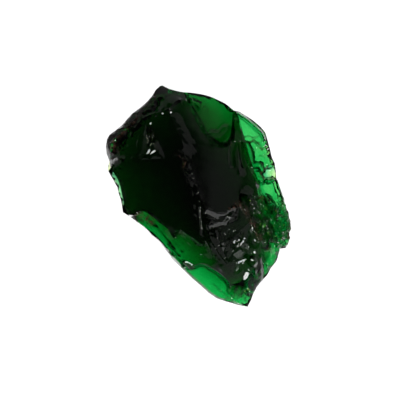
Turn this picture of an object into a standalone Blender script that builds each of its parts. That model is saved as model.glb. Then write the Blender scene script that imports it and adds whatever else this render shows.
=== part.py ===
"""A chipped piece of rough chrome tourmaline, lying on its flat back.

One solid. Its outline, and the ridges where one fracture face meets the next, are drawn by hand
as a map in millimetres, seen from above. The map's +Y runs along the crystal's length. Each face
is a film stretched between its ridges, scooped out where the stone broke in a shell-like curve,
and roughened where it broke in small steps.
"""

import math

import bmesh
import bpy
import numpy as np
from mathutils import Vector, geometry, noise

MM = 0.001
THICKNESS = 4.8  # from the flat back to the peak of the central ridge

FRONT_PITCH = 0.175  # distance between mesh points on the broken front
BACK_PITCH = 0.32  # the same on the back, which is plainer
RIDGE_CLEARANCE = 0.62  # how near a loose point may come to a ridge, in pitches
SHARP_ANGLE = math.radians(24)
SCOOP_REACH = 0.9  # how far from its ridges a scoop reaches its full depth
ROUGH_SCALE = 2.7  # small steps per millimetre in rough faces
FILM_PASSES = 1500  # how often each height is evened out with its neighbours

BEVEL_ACROSS = 0.94  # the bevel along the back's edge starts at this share of x
BEVEL_ALONG = 0.955  # and at this share of y
BEVEL_RISE = 0.22  # how far it climbs to the edge
BEVEL_LOWEST = 0.06  # its least height at the start

# The edge that is seen from above, clockwise from the upper tip: x, y and height in millimetres.
EDGE = [
    (0.30, 6.36, 1.7), (0.55, 6.16, 1.4), (1.05, 5.80, 0.7), (1.57, 5.55, 0.5), (2.07, 5.29, 0.45),
    (2.53, 4.98, 0.45), (2.89, 4.64, 0.45), (3.21, 4.27, 0.4), (3.47, 3.82, 0.35), (3.75, 3.64, 0.28),
    (4.03, 3.29, 0.25), (4.30, 2.91, 0.25), (4.55, 2.45, 0.25), (4.69, 2.05, 0.25), (4.66, 1.64, 0.25),
    (4.60, 1.09, 0.25), (4.53, 0.64, 0.22), (4.57, 0.27, 0.2), (4.46, -0.18, 0.2), (4.34, -0.55, 0.25),
    (4.33, -1.00, 0.28), (4.30, -1.73, 0.35), (4.25, -2.36, 0.5), (4.20, -3.00, 0.7), (4.00, -3.41, 0.8),
    (3.75, -3.82, 0.8), (3.60, -4.14, 0.7), (3.40, -4.28, 0.7), (3.14, -4.22, 0.6), (2.94, -4.47, 0.5),
    (2.66, -4.82, 0.45), (2.25, -5.05, 0.45), (1.98, -5.30, 0.45), (1.66, -5.46, 0.5), (1.16, -5.73, 0.6),
    (0.85, -6.00, 0.6), (0.62, -6.27, 0.6), (0.30, -6.56, 0.5), (0.07, -6.44, 0.45), (-0.25, -6.23, 0.4),
    (-0.47, -6.05, 0.38), (-0.84, -5.77, 0.35), (-1.11, -5.55, 0.32), (-1.43, -5.09, 0.28),
    (-1.70, -4.55, 0.25), (-1.97, -4.05, 0.25), (-2.25, -3.45, 0.28), (-2.47, -3.00, 0.33),
    (-2.65, -2.55, 0.37), (-2.76, -2.09, 0.4), (-2.97, -1.45, 0.4), (-3.25, -0.95, 0.4),
    (-3.33, -0.70, 0.4), (-3.47, -0.41, 0.4), (-3.70, -0.05, 0.45), (-3.93, 0.36, 0.5),
    (-4.25, 0.77, 0.25), (-4.18, 1.09, 0.22), (-4.11, 1.45, 0.2), (-4.10, 1.82, 0.2),
    (-4.04, 2.18, 0.2), (-4.12, 2.73, 0.2), (-4.18, 3.18, 0.3), (-4.06, 3.41, 0.7),
    (-3.85, 3.62, 1.3), (-3.82, 4.00, 1.7), (-3.70, 4.36, 2.0), (-3.50, 4.68, 2.1), (-3.29, 4.86, 2.1),
    (-2.93, 4.95, 2.15), (-2.47, 5.09, 2.2), (-2.11, 5.29, 2.2), (-1.75, 5.47, 2.2),
    (-1.29, 5.59, 2.2), (-0.84, 5.75, 2.2), (-0.38, 6.00, 2.1), (-0.11, 6.23, 2.0), (0.16, 6.36, 1.8),
]

# Places where ridges meet, named so that the ridges can share them.
JUNCTIONS = {
    "upper tip": EDGE[0],
    "notch": EDGE[8],
    "shoulder edge": EDGE[15],
    "cracked edge": EDGE[16],
    "pale edge": EDGE[18],
    "lower shelf edge": EDGE[19],
    "step": EDGE[28],
    "clear edge": EDGE[30],
    "saddle edge": EDGE[33],
    "band edge": EDGE[34],
    "glass edge": EDGE[36],
    "lower tip": EDGE[37],
    "heel edge": EDGE[39],
    "left corner": EDGE[55],
    "left neck": EDGE[64],
    "crown": (0.10, 4.90, 3.3),
    "chip": (0.00, 2.10, 4.6),
    "peak": (0.05, 0.60, THICKNESS),
    "crescent": (0.07, -0.40, 4.68),
    "ledge": (0.10, -1.60, 4.3),
    "hackle": (0.12, -2.30, 4.0),
    "sill": (0.14, -3.10, 3.55),
    "pit": (0.18, -3.90, 3.0),
    "lip": (0.20, -4.60, 2.25),
    "foot": (0.22, -5.50, 1.45),
    "flank": (-0.52, -2.20, 3.6),
    "lens end": (-0.30, -3.95, 2.6),
    "heel top": (-0.12, -4.60, 2.0),
    "corner top": (-3.84, 0.50, 2.9),
    "first scallop": (-2.12, -0.93, 3.5),
    "second scallop": (-2.04, -1.52, 3.4),
    "third scallop": (-1.00, -2.32, 3.4),
    "scallop rim end": (-2.28, -3.00, 1.05),
    "lens": (-1.45, -3.48, 1.7),
    "heel": (-0.80, -4.30, 1.5),
    "heel foot": (-0.92, -4.42, 1.15),
    "heel rim": (-0.14, -6.0, 0.8),
    "side": (-3.36, 4.38, 2.6),
    "side bend": (-2.60, 4.66, 2.8),
    "side mid": (-2.30, 4.82, 2.8),
    "fan top": (-1.30, 4.96, 3.05),
    "fan root": (-1.22, 4.30, 3.4),
    "fan foot": (-0.90, 2.42, 4.15),
    "shelf": (-2.30, 2.98, 3.55),
    "shelf end": (-2.75, 3.25, 3.2),
    "rim top": (1.24, 5.60, 1.75),
    "crest": (1.20, 5.20, 2.3),
    "window low": (1.66, 2.25, 3.15),
    "window right": (2.75, 2.12, 2.65),
    "notch top": (3.40, 3.76, 1.5),
    "stair top": (3.50, 3.30, 2.1),
    "stair foot": (3.56, 3.42, 0.5),
    "rough top": (2.95, -1.10, 2.5),
    "stair joint": (3.20, -1.12, 1.5),
    "iron": (1.78, -1.00, 3.5),
    "iron bend": (2.10, -2.10, 3.0),
    "iron foot": (2.20, -3.30, 2.4),
    "sill end": (1.85, -3.50, 2.45),
    "cove": (1.50, -4.40, 2.1),
    "glass": (1.00, -4.45, 2.25),
    "shelf foot": (3.36, 0.55, 0.55),
    "shelf low": (3.37, -0.60, 0.57),
    "rim low": (4.00, -2.40, 1.2),
}

# The ridges of the front, each a list of junctions and of points between them.
FRONT_RIDGES = {
    "crown line": ["upper tip", (0.24, 6.0, 2.25), (0.18, 5.5, 2.75), "crown"],
    "central ridge": [
        "crown", (0.14, 4.0, 3.8), (0.20, 3.0, 4.2), (0.08, 2.4, 4.55), "chip", (0.06, 1.5, 4.7),
        (-0.06, 0.95, 4.77), "peak", (0.02, 0.1, 4.77), "crescent", (0.05, -1.0, 4.5), "ledge", "hackle",
        "sill", "pit", "lip", "foot", "lower tip",
    ],
    "flank line": [
        "peak", (-0.22, 0.1, 4.6), (-0.42, -0.6, 4.35), (-0.52, -1.4, 4.0), "flank",
        (-0.38, -3.0, 3.1), "lens end", "heel top", "foot",
    ],
    "scalloped ridge": [
        "corner top", (-3.50, 0.36, 3.1), (-3.05, 0.40, 3.3), (-2.76, 0.11, 3.4), (-2.36, -0.58, 3.5),
        "first scallop",
    ],
    "scallop gap": ["first scallop", (-2.09, -1.22, 3.4), "second scallop"],
    "second arc": ["second scallop", (-1.72, -1.41, 3.5), (-1.44, -1.57, 3.5), (-1.17, -1.91, 3.5),
                   "third scallop"],
    "third arc": ["third scallop", (-0.77, -2.42, 3.5), "flank"],
    "scallop foot": [
        "left corner", (-3.56, 0.27, 1.15), (-3.09, 0.31, 1.35), (-2.83, 0.05, 1.4),
        (-2.42, -0.64, 1.5), (-2.19, -0.99, 1.6), (-2.17, -1.26, 1.55), (-2.10, -1.62, 1.5),
        (-1.73, -1.50, 1.75), (-1.49, -1.65, 1.85), (-1.23, -1.97, 1.9), (-1.04, -2.41, 1.95),
        (-0.76, -2.50, 2.1), (-0.59, -2.62, 2.2), (-0.50, -3.05, 2.25), (-0.42, -3.45, 2.2), "lens end",
    ],
    "rib": [(-2.10, -1.62, 1.5), (-2.22, -2.1, 1.3), (-2.30, -2.55, 1.15), "scallop rim end"],
    "scallop rim": [
        "left corner", (-3.60, -0.06, 1.1), (-3.38, -0.42, 1.15), (-3.24, -0.70, 1.15),
        (-3.16, -0.94, 1.15), (-2.88, -1.42, 1.1), (-2.66, -2.06, 1.1), (-2.50, -2.50, 1.1),
        "scallop rim end",
    ],
    "bright rim": [
        "scallop rim end", (-2.10, -3.42, 0.7), (-1.84, -3.98, 0.6), (-1.59, -4.48, 0.6),
        (-1.33, -5.00, 0.62), (-1.04, -5.42, 0.65), (-0.76, -5.66, 0.68), (-0.40, -5.9, 0.7),
        (-0.12, -6.16, 0.75), "lower tip",
    ],
    "bright arc": ["scallop rim end", (-2.06, -3.02, 1.3), (-1.82, -3.10, 1.45), (-1.62, -3.30, 1.55),
                   "lens", (-1.1, -3.86, 1.55), "heel"],
    "arc foot": ["scallop rim end", (-2.06, -3.16, 1.1), (-1.86, -3.24, 1.15), (-1.70, -3.42, 1.2),
                 (-1.53, -3.61, 1.2), (-1.19, -3.97, 1.2), "heel foot"],
    "dark lens": ["lens", (-1.2, -3.32, 1.8), (-0.7, -3.62, 2.0), "lens end"],
    "heel joint": ["heel", "heel foot"],
    "heel line": ["heel foot", (-0.74, -4.8, 1.2), (-0.58, -5.15, 1.15), (-0.36, -5.6, 1.0),
                  "heel rim"],
    "heel edge line": ["heel", (-0.66, -4.78, 1.5), (-0.5, -5.15, 1.4), (-0.28, -5.6, 1.2), "heel rim"],
    "heel cross": ["heel", (-0.5, -4.48, 1.75), "heel top"],
    "left wall": ["left neck", (-3.82, 3.2, 2.6), (-3.75, 2.8, 2.9), (-3.67, 2.4, 3.0),
                  (-3.69, 2.0, 3.0), (-3.75, 1.6, 3.0), (-3.83, 1.1, 2.9), "corner top", "left corner"],
    "left flake": ["left neck", (-3.89, 3.2, 0.42), (-3.82, 2.8, 0.34), (-3.74, 2.4, 0.3),
                   (-3.76, 2.0, 0.3), (-3.82, 1.6, 0.32), (-3.90, 1.1, 0.35), (-3.93, 0.7, 0.4),
                   "left corner"],
    "side line": ["left neck", (-3.55, 3.95, 2.4), "side", (-3.0, 4.52, 2.7), "side bend", "side mid",
                  (-1.9, 5.02, 2.8), (-1.5, 5.16, 2.8), (-1.1, 5.28, 2.8), (-0.65, 5.45, 2.75),
                  (-0.2, 5.72, 2.55), (0.05, 6.04, 2.2), "upper tip"],
    "step line": ["side mid", (-2.05, 4.62, 2.95), (-1.7, 4.74, 3.0), "fan top",
                  (-0.7, 4.98, 3.05), (-0.3, 4.92, 3.2), "crown"],
    "fan rib": ["fan top", (-1.28, 4.65, 3.2), "fan root"],
    "fan right": ["fan root", (-0.98, 3.7, 3.75), (-0.92, 3.1, 4.0), "fan foot"],
    "fan left": ["fan root", (-1.65, 3.9, 3.4), (-1.9, 3.4, 3.5), "shelf"],
    "shelf line": ["left neck", (-3.3, 3.38, 2.9), "shelf end", "shelf", (-1.85, 2.83, 3.75),
                   (-1.3, 2.63, 4.0), "fan foot", (-0.45, 2.1, 4.4), "chip"],
    "olive facet": ["side bend", (-2.9, 4.2, 2.7), (-2.62, 3.72, 3.0), (-2.4, 3.3, 3.3), "shelf"],
    "upper rim": ["upper tip", (0.54, 6.06, 1.9), (0.96, 5.76, 1.85), "rim top", (1.58, 5.47, 1.5),
                  (2.05, 5.22, 1.4), (2.49, 4.92, 1.35), (2.83, 4.59, 1.35), (3.15, 4.23, 1.35),
                  "notch top", "notch"],
    "crest line": ["crown", (0.7, 5.2, 2.85), "crest", "rim top"],
    "window line": ["crest", (1.24, 4.8, 2.6), (1.27, 4.0, 2.95), (1.38, 3.1, 3.15), "window low",
                    (2.2, 1.98, 2.95), "window right", (3.06, 2.7, 2.3), (3.26, 3.3, 1.9), "notch top"],
    "window foot": ["rim top", (1.40, 5.3, 1.6), (1.44, 4.9, 1.75), (1.52, 4.4, 1.9), (1.60, 3.7, 2.05),
                    (1.70, 3.0, 2.1), (1.96, 2.52, 2.1), (2.3, 2.28, 2.05), (2.7, 2.45, 1.9),
                    (2.98, 2.95, 1.7), "notch top"],
    "stair": ["notch top", "stair top", (3.42, 2.95, 2.2), (3.32, 2.45, 2.35), (3.20, 1.95, 2.45),
              (3.05, 1.4, 2.55), (2.98, 0.8, 2.6), (3.02, 0.2, 2.6), (3.04, -0.4, 2.55), "rough top"],
    "stair mid": ["stair top", (3.48, 2.95, 1.75), (3.38, 2.45, 1.8), (3.27, 1.95, 1.85),
                  (3.12, 1.4, 1.9), (3.05, 0.8, 1.9), (3.09, 0.2, 1.85), (3.11, -0.4, 1.8), "rough top"],
    "stair tread": ["window right", (2.66, 1.7, 2.75), (2.52, 1.1, 3.0), (2.42, 0.4, 3.3)],
    "stair foot": ["notch", "stair foot", (3.58, 3.0, 0.5), (3.52, 2.5, 0.5), (3.47, 2.0, 0.52),
                   (3.40, 1.5, 0.54), (3.36, 1.0, 0.55), "shelf foot", (3.35, 0.0, 0.55), "shelf low",
                   (3.34, -1.1, 0.6), (3.56, -1.5, 0.6), (3.64, -2.0, 0.8), "rim low"],
    "tread edge": ["stair top", (3.51, 2.95, 1.65), (3.44, 2.45, 1.7), (3.39, 1.95, 1.7),
                   (3.32, 1.4, 1.7), (3.28, 0.8, 1.65), (3.27, 0.2, 1.6), (3.28, -0.4, 1.5),
                   "stair joint"],
    "stair joint": ["rough top", "stair joint", (3.34, -1.1, 0.55)],
    "shelf rim": ["notch", (3.72, 3.50, 0.47), (3.98, 3.16, 0.47), (4.18, 2.80, 0.47),
                  (4.36, 2.42, 0.47), (4.50, 2.05, 0.47), (4.50, 1.64, 0.47), (4.52, 1.3, 0.43),
                  "shoulder edge"],
    "shelf crack": ["shelf foot", (3.62, 0.95, 0.55), (3.75, 1.52, 0.53), (4.0, 1.62, 0.51),
                    (4.2, 1.74, 0.49), (4.50, 1.64, 0.47)],
    "shelf end": ["shelf foot", (3.95, 0.66, 0.55), (4.3, 0.62, 0.45), "cracked edge"],
    "pale lens": ["shelf foot", (3.9, 0.3, 0.55), (4.2, 0.12, 0.45), "pale edge"],
    "lens foot": ["shelf low", (3.75, -0.48, 0.55), (4.05, -0.46, 0.47), "lower shelf edge"],
    "right rim": ["lower shelf edge", (4.16, -0.9, 0.55), (4.12, -1.5, 0.6), (4.08, -2.0, 0.85),
                  "rim low", (3.95, -3.0, 1.45), (3.72, -3.4, 1.5), (3.40, -3.85, 1.3), "step"],
    "crescent line": ["crescent", (0.35, -0.88, 4.35), (0.75, -1.18, 4.15), (1.3, -1.24, 3.9), "iron"],
    "crescent foot": ["ledge", (0.5, -1.62, 3.95), (1.0, -1.58, 3.8), (1.4, -1.44, 3.65)],
    "iron line": ["iron", (2.0, -1.35, 3.3), (1.93, -1.75, 3.15), "iron bend", (2.15, -2.7, 2.7),
                  "iron foot"],
    "iron top": ["iron", (2.05, -0.55, 3.55), (2.4, -0.8, 3.15), "rough top"],
    "hackle line": ["hackle", (0.45, -2.35, 3.75), (0.8, -2.55, 3.6), (1.3, -2.4, 3.4),
                    (1.7, -2.28, 3.2), "iron bend"],
    "sill line": ["sill", (0.7, -3.05, 3.3), (1.2, -2.98, 3.15), (1.6, -3.15, 2.85), "sill end"],
    "sill foot": ["pit", (0.6, -3.78, 2.85), (1.0, -3.7, 2.75), (1.45, -3.55, 2.65), "sill end"],
    "sill corner": ["sill end", "iron foot"],
    "pit line": ["lip", (0.6, -4.5, 2.4), "glass", "cove"],
    "band left": ["sill end", "cove", (1.28, -5.1, 1.55), "band edge"],
    "band right": ["iron foot", (2.06, -3.8, 2.1), (1.84, -4.4, 1.75), (1.62, -5.05, 1.3),
                   "saddle edge"],
    "clear wall": ["iron foot", (2.26, -3.85, 1.45), (2.04, -4.45, 1.25), (1.82, -5.05, 0.9),
                   "saddle edge"],
    "glass line": ["glass", (0.78, -5.2, 1.75), (0.62, -5.8, 1.25), "glass edge"],
    "clear line": ["iron foot", (2.55, -3.5, 2.0), (2.95, -3.6, 1.75), (3.1, -3.95, 1.3), "step"],
    "clear rim": ["iron foot", (2.6, -3.68, 1.4), (2.88, -3.8, 1.25), (2.92, -4.1, 1.05),
                  (2.6, -4.5, 0.95), (2.2, -4.85, 0.9), (1.82, -5.05, 0.9)],
}

# Faces of the front: a point inside, how deep the scoop is, and how rough its small steps are.
FRONT_FACES = {
    "left face": ((-1.8, 1.0), 0.22, 0.0),
    "central face": ((1.2, 1.0), 0.06, 0.0),
    "window": ((2.5, 3.8), 0.12, 0.0),
    "upper crest": ((0.7, 5.7), 0.05, 0.02),
    "upper hackle": ((-0.9, 5.12), 0.05, 0.12),
    "upper left side": ((-2.2, 5.0), 0.0, 0.02),
    "fan": ((-1.4, 3.6), 0.35, 0.0),
    "fan right": ((-0.4, 3.6), 0.15, 0.0),
    "olive facet": ((-2.1, 4.1), 0.15, 0.03),
    "left facet": ((-3.2, 3.9), 0.1, 0.02),
    "scallop one": ((-2.7, -1.0), 0.2, 0.0),
    "scallop two": ((-1.4, -2.6), 0.2, 0.0),
    "bright bevel": ((-1.4, -4.4), 0.05, 0.0),
    "heel facet": ((-0.2, -5.2), 0.06, 0.02),
    "flank": ((-0.25, -1.8), 0.08, 0.0),
    "crescent": ((0.5, -1.35), 0.05, 0.0),
    "ledge": ((1.0, -2.0), 0.1, 0.02),
    "hackle": ((1.0, -2.75), 0.08, 0.16),
    "sill": ((0.9, -3.4), 0.1, 0.02),
    "pit": ((0.8, -4.2), 0.25, 0.03),
    "glass": ((0.5, -5.0), 0.15, 0.03),
    "cove": ((1.1, -5.0), 0.15, 0.03),
    "band": ((1.7, -4.4), 0.05, 0.0),
    "clear facet": ((2.4, -4.1), 0.05, 0.02),
    "rough field": ((3.0, -2.4), 0.08, 0.3),
    "stair wall": ((3.25, 0.6), 0.0, 0.0),
    "bright shelf": ((4.0, 2.3), 0.02, 0.0),
    "cracked shelf": ((4.2, 1.1), 0.02, 0.03),
    "pale lens": ((3.95, -0.1), 0.1, 0.0),
    "lower shelf": ((3.7, -1.0), 0.05, 0.02),
}

# The flat face of the back that the stone lies on.
REST = [
    (-3.00, 3.00, 0.0), (-2.30, 4.00, 0.0), (-0.60, 4.75, 0.0), (0.40, 5.10, 0.0), (1.60, 4.60, 0.0),
    (3.00, 2.00, 0.0), (3.10, -1.20, 0.0),
    (1.80, -3.60, 0.0), (0.20, -4.60, 0.0), (-1.20, -3.20, 0.0), (-2.50, -0.30, 0.0),
]
BACK_FACES = {
    "back upper side": ((-2.0, 4.3), -0.1, 0.03),
}

COLOUR = (0.01, 0.22, 0.06, 1.0)


def place(point):
    """The coordinates of a junction's name, or of a plain point."""
    return JUNCTIONS[point] if isinstance(point, str) else point


def closed(points):
    """The points with the first one again at the end."""
    return [*points, points[0]]


def spline(points, pitch):
    """Points a pitch apart on a smooth curve through the given ones, which it keeps."""
    known = [Vector(place(p)) for p in points]
    ends = [2 * known[0] - known[1], *known, 2 * known[-1] - known[-2]]
    made = [known[0]]
    for before, start, stop, after in zip(ends, ends[1:], ends[2:], ends[3:]):
        steps = max(1, round((stop - start).xy.length / pitch))
        for i in range(1, steps + 1):
            t = i / steps
            bend = (stop - before) * t + (2 * before - 5 * start + 4 * stop - after) * t * t
            made.append(start + (bend + (3 * start - before - 3 * stop + after) * t ** 3) / 2)
    return made


def loose_points(pitch):
    """Points in offset rows that fill the box around the outline."""
    west, east = min(p[0] for p in EDGE), max(p[0] for p in EDGE)
    south, north = min(p[1] for p in EDGE), max(p[1] for p in EDGE)
    row_gap = pitch * math.sin(math.radians(60))
    for row in range(int((north - south) / row_gap) + 1):
        for column in range(int((east - west) / pitch) + 1):
            yield Vector((west + (column + row % 2 / 2) * pitch, south + row * row_gap))


def survey(ridges, pitch):
    """Every ridge point once, the edge's first, and the pairs that the ridges join."""
    points, index, pairs = [], {}, []

    def number(point):
        key = (round(point.x, 4), round(point.y, 4))
        if key not in index:
            index[key] = len(points)
            points.append(point)
        return index[key]

    outline = [number(Vector(p)) for p in EDGE]
    pairs += zip(outline, closed(outline)[1:])
    for ridge in ridges:
        chain = [number(p) for p in spline(ridge, pitch)]
        pairs += zip(chain, chain[1:])
    return points, pairs


def relax(heights, faces, pinned):
    """Heights of a film stretched between the pinned points."""
    ends = np.concatenate([faces[:, [0, 1]], faces[:, [1, 2]], faces[:, [2, 0]]])
    ends = np.concatenate([ends, ends[:, ::-1]])
    count = np.maximum(np.bincount(ends[:, 0], minlength=len(heights)), 1)
    for _ in range(FILM_PASSES):
        around = np.bincount(ends[:, 0], weights=heights[ends[:, 1]], minlength=len(heights))
        heights = np.where(pinned, heights, around / count)
    return heights


def regions(faces, walls):
    """A number for each triangle, the same for all that no ridge parts."""
    beside = {}
    for number, face in enumerate(faces):
        for pair in zip(face, closed(face)[1:]):
            if frozenset(pair) not in walls:
                beside.setdefault(frozenset(pair), []).append(number)
    links = {}
    for pair in beside.values():
        if len(pair) == 2:
            links.setdefault(pair[0], []).append(pair[1])
            links.setdefault(pair[1], []).append(pair[0])
    found = [-1] * len(faces)
    for start in range(len(faces)):
        queue = [start] if found[start] < 0 else []
        while queue:
            number = queue.pop()
            if found[number] < 0:
                found[number] = start
                queue += links.get(number, [])
    return found


def members(spot, flat, faces, numbers):
    """The points of the face that holds the spot."""
    for face, number in zip(faces, numbers):
        if geometry.intersect_point_tri_2d(Vector(spot), *(flat[i] for i in face)):
            return {i for f, n in zip(faces, numbers) if n == number for i in f}
    return set()


def carve(heights, flat, pinned, inside, depth, rough):
    """Scoops and roughens one face, away from its ridges."""
    ridge_spots = np.array([p for p, fixed in zip(flat, pinned) if fixed])
    for i in inside:
        if not pinned[i]:
            away = np.hypot(*(ridge_spots - np.array(flat[i])).T).min()
            share = min(away / SCOOP_REACH, 1.0)
            heights[i] -= depth * share * (2 - share)
            heights[i] += 2 * rough * noise.noise(Vector((*flat[i], rough)) * ROUGH_SCALE)


def relief(ridges, surfaces, pitch, level):
    """One side of the stone as points and triangles, with its films stretched from a level."""
    known, pairs = survey(ridges, pitch)
    flat = [p.xy for p in known]
    near = np.array(flat)
    for spot in loose_points(pitch):
        if np.hypot(*(near - np.array(spot)).T).min() > RIDGE_CLEARANCE * pitch:
            flat.append(spot)
    outline = list(range(len(EDGE)))[::-1]
    flat, links, faces, from_points, from_pairs, from_faces = geometry.delaunay_2d_cdt(
        flat, pairs, [outline], 0, 1e-5, True
    )
    faces = [face for face, origin in zip(faces, from_faces) if origin]
    walls = {frozenset(link) for link, origin in zip(links, from_pairs) if origin}
    pinned = np.array([any(i < len(known) for i in origin) for origin in from_points])
    heights = np.array([
        next((known[i].z for i in origin if i < len(known)), level) for origin in from_points
    ])
    heights = relax(heights, np.array(faces), pinned)
    numbers = regions(faces, walls)
    for spot, depth, rough in surfaces:
        carve(heights, flat, pinned, members(spot, flat, faces, numbers), depth, rough)
    return [Vector((*p, h)) for p, h in zip(flat, heights)], faces


def add_side(bm, points, faces):
    """Adds one side's triangles to the mesh."""
    made = [bm.verts.new(p * MM) for p in points]
    for face in faces:
        bm.faces.new([made[i] for i in face])


def crystal_mesh():
    """The closed mesh of the stone, in metres, with its flat back on z = 0."""
    front = relief(FRONT_RIDGES.values(), FRONT_FACES.values(), FRONT_PITCH, THICKNESS / 2)
    bevel = [
        (x * BEVEL_ACROSS, y * BEVEL_ALONG, max(z - BEVEL_RISE, BEVEL_LOWEST)) for x, y, z in EDGE
    ]
    back = relief([closed(bevel), closed(REST)], BACK_FACES.values(), BACK_PITCH, 0.0)
    bm = bmesh.new()
    add_side(bm, *front)
    add_side(bm, *back)
    bmesh.ops.delete(bm, geom=[v for v in bm.verts if not v.link_faces], context="VERTS")
    bmesh.ops.remove_doubles(bm, verts=bm.verts, dist=1e-7)
    bmesh.ops.recalc_face_normals(bm, faces=bm.faces)
    centre = [(min(v.co[i] for v in bm.verts) + max(v.co[i] for v in bm.verts)) / 2 for i in (0, 1)]
    bmesh.ops.translate(bm, verts=bm.verts, vec=(-centre[0], -centre[1], 0))
    mesh = bpy.data.meshes.new("tourmaline_crystal")
    bm.to_mesh(mesh)
    bm.free()
    return mesh


def tourmaline():
    """The stone's deep green."""
    material = bpy.data.materials.new("tourmaline")
    material.use_nodes = True
    shader = material.node_tree.nodes["Principled BSDF"]
    shader.inputs["Base Color"].default_value = COLOUR
    shader.inputs["Metallic"].default_value = 0.0
    shader.inputs["Roughness"].default_value = 0.08
    shader.inputs["IOR"].default_value = 1.63
    return material


def build():
    """Clears the scene and puts the crystal in it."""
    for old in list(bpy.data.objects):
        bpy.data.objects.remove(old)
    mesh = crystal_mesh()
    mesh.materials.append(tourmaline())
    mesh.shade_smooth()
    mesh.set_sharp_from_angle(angle=SHARP_ANGLE)
    crystal = bpy.data.objects.new("tourmaline_crystal", mesh)
    bpy.context.scene.collection.objects.link(crystal)


build()
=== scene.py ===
"""A chipped piece of chrome tourmaline over a lit floor, seen from straight above.

The stone is one clear, deep green solid. Its faces are shell-shaped fractures with ripples and
hackle, its ridges are nicked, and one side is rough and stained by iron. All places on the stone
are given on its map: millimetres seen from above, with +Y along the crystal's length.
"""
import logging
import math
from dataclasses import dataclass, field
from enum import Enum
from typing import Any, Optional, Union

import bpy
import numpy as np
from mathutils import Matrix, Vector
from mathutils.bvhtree import BVHTree


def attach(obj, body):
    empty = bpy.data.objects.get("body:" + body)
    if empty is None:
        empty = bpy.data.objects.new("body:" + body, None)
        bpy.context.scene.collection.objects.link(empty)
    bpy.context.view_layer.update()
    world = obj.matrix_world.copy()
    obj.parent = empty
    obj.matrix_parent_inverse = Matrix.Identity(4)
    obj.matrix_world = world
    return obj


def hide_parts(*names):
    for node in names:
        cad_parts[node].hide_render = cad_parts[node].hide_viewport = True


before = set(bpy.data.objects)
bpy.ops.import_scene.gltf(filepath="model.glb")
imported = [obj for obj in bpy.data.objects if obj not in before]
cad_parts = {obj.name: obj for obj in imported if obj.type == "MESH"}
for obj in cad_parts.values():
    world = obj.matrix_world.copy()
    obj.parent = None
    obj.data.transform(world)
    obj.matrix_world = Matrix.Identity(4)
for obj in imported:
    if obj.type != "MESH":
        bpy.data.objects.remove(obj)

LOG = logging.getLogger("tourmaline")
MM = 0.001
NODE = "tourmaline_crystal"
MAP_CENTRE = (0.22, -0.10)  # the map point over the middle of the stone's footprint
LEAN = math.atan2(85, 220)  # the stone's length leans this far to the left in the picture
PANEL = (-44.0, 18.0)  # turn in the picture and rise, in degrees, of the light on the crescents
WINDOW = (-60.0, 35.0)  # the same of the light on the glassy faces
LIGHT_AWAY = 300.0  # how far off the lights hang, in millimetres
ABOVE = 20.0  # a height over all of the stone, in millimetres
WELD = 1e-6  # vertices of the plain solid this close are one, in metres
CUT_WELD = 2e-6  # the same once the chips are cut
CRISP = 0.03  # how far a small glassy face fades out, in millimetres
LEAST_WEIGHT = 0.002  # a vertex with less than this stays out of a group
ABSORPTION_SPARE = 1.15  # keeps every channel of the absorption colour above 0

MapPoint = tuple[float, float]
Number = Union[int, float]


def object_mode(*chosen: bpy.types.Object) -> None:
    """Leaves edit mode and selects only the chosen objects.

    Args:
        chosen: The objects to select; the first one becomes active.
    """
    if bpy.context.object and bpy.context.object.mode != "OBJECT":
        bpy.ops.object.mode_set(mode="OBJECT")
    bpy.ops.object.select_all(action="DESELECT")
    for item in chosen:
        item.select_set(True)
    if chosen:
        bpy.context.view_layer.objects.active = chosen[0]


def edit_mode(item: bpy.types.Object, select: str, action: str) -> None:
    """Opens an object in edit mode.

    Args:
        item: The object to edit.
        select: VERT, EDGE or FACE.
        action: What to do with the selection, SELECT or DESELECT.
    """
    object_mode(item)
    bpy.ops.object.mode_set(mode="EDIT")
    bpy.ops.mesh.select_mode(type=select)
    bpy.ops.mesh.select_all(action=action)


class Grain(Enum):
    """The kinds of small relief that a fracture leaves."""

    PLAIN = "PLAIN"
    RIPPLE = "RINGS"
    HACKLE = "VORONOI"
    SWELL = "CLOUDS"


@dataclass(frozen=True)
class Trail:
    """A soft-edged line or spot on the stone's map.

    Attributes:
        points: The line's corners, or one point for a spot.
        reach: How far from the line its effect is full, in millimetres.
        feather: How far beyond that it fades out, in millimetres.
    """

    points: tuple[MapPoint, ...]
    reach: float
    feather: float

    def distance(self, spots: np.ndarray) -> np.ndarray:
        """Distances from the line.

        Args:
            spots: Map points, one in each row.

        Returns:
            One distance for each spot, in millimetres.
        """
        nearest = np.full(len(spots), np.inf)
        ends = self.points[1:] or self.points
        for start, stop in zip(self.points, ends):
            origin = np.array(start)
            along = np.array(stop) - origin
            length = float(along @ along) or 1.0
            share = np.clip((spots - origin) @ along / length, 0.0, 1.0)
            away = np.hypot(*(spots - origin - share[:, None] * along).T)
            nearest = np.minimum(nearest, away)
        return nearest

    def weight(self, spots: np.ndarray) -> np.ndarray:
        """How strongly the trail acts at each spot, from 0 to 1."""
        fade = 1.0 - (self.distance(spots) - self.reach) / self.feather
        fade = np.clip(fade, 0.0, 1.0)
        return fade * fade * (3.0 - 2.0 * fade)


def on_map(places: np.ndarray) -> np.ndarray:
    """The map points of places given in millimetres, one in each row."""
    return places[:, :2] + np.array(MAP_CENTRE)


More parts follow.
